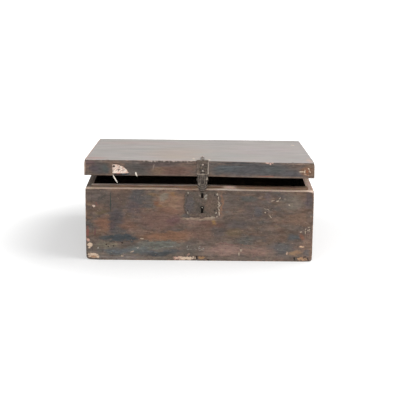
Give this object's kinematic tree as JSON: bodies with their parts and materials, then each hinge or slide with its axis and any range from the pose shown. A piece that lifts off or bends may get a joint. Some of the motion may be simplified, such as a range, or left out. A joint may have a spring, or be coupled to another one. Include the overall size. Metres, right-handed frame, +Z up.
{
  "type": "wooden box",
  "caption": "Old painted wooden box with a framed hinged lid standing ajar, a hanging iron hasp and a toothed lock plate on its front.",
  "frame": {"origin": "centre of the underside, on the right-hand bottom board just beside the joint between the two", "axes": "+X to the box's right as seen from its front, +Y to the back, +Z up; the hasp is on the -Y side"},
  "size_m": [0.5, 0.413, 0.2296],
  "materials": {
    "painted_wood": "old brown paint, worn and scratched, satin",
    "inner_wood": "dark bare wood, dull",
    "lid_wood": "faded grey-brown paint, satin",
    "bare_wood": "unpainted wood, dull",
    "iron": "forged iron, rusted brown-grey, satin",
    "bright_iron": "filed iron, worn bright"
  },
  "bodies": {
    "box": {"bottom_board_left": "bare_wood", "bottom_board_right": "bare_wood", "front_board": "painted_wood", "back_board": "painted_wood", "left_side_board": "painted_wood", "right_side_board": "painted_wood", "front_lip": "inner_wood", "bottom_nail_1": "iron", "bottom_nail_2": "iron", "bottom_nail_3": "iron", "bottom_nail_4": "iron", "bottom_nail_5": "iron", "bottom_nail_6": "iron", "bottom_nail_7": "iron", "bottom_nail_8": "iron", "lock_plate": "iron", "lock_case": "iron", "bolt_guide_left": "iron", "bolt_guide_right": "iron", "bolt_spring": "bright_iron", "key_post": "bright_iron", "lock_ward": "iron", "lock_nail_1": "iron", "lock_nail_2": "iron", "lock_nail_3": "iron", "lock_nail_4": "iron", "hinge_lower_leaf_left": "iron", "hinge_lower_leaf_right": "iron", "hinge_pin_left": "iron", "hinge_pin_right": "iron", "hinge_lower_nail_left_1": "iron", "hinge_lower_nail_left_2": "iron", "hinge_lower_nail_right_1": "iron", "hinge_lower_nail_right_2": "iron"},
    "bolt": {"lock_bolt": "bright_iron"},
    "lid": {"lid_top": "lid_wood", "lid_front_rail": "painted_wood", "lid_back_rail": "painted_wood", "lid_left_rail": "painted_wood", "lid_right_rail": "painted_wood", "lid_brad_1": "iron", "lid_brad_2": "iron", "lid_brad_3": "iron", "lid_brad_4": "iron", "hasp_plate": "iron", "hasp_pin": "iron", "hasp_nail_1": "iron", "hasp_nail_2": "iron", "strap_nail_1": "iron", "strap_nail_2": "iron", "hinge_upper_leaf_left": "iron", "hinge_upper_leaf_right": "iron", "hinge_upper_nail_left_1": "iron", "hinge_upper_nail_left_2": "iron", "hinge_upper_nail_right_1": "iron", "hinge_upper_nail_right_2": "iron"},
    "hasp": {"hasp_leaf": "iron", "hasp_staple": "iron"}
  },
  "joints": [
    {"name": "lid_hinge", "type": "hinge", "parent": "box", "child": "lid", "pos_m": [0, 0.204, 0.162], "axis": [-1, 0, 0], "range_deg": [-4.14, 105]},
    {"name": "hasp_hinge", "type": "hinge", "parent": "lid", "child": "hasp", "pos_m": [0.0055, -0.20247, 0.19784], "axis": [-1, 0, 0], "range_deg": [0, 160]},
    {"name": "bolt_slide", "type": "slide", "parent": "box", "child": "bolt", "axis": [1, 0, 0], "range_m": [0, 0.007]}
  ]
}
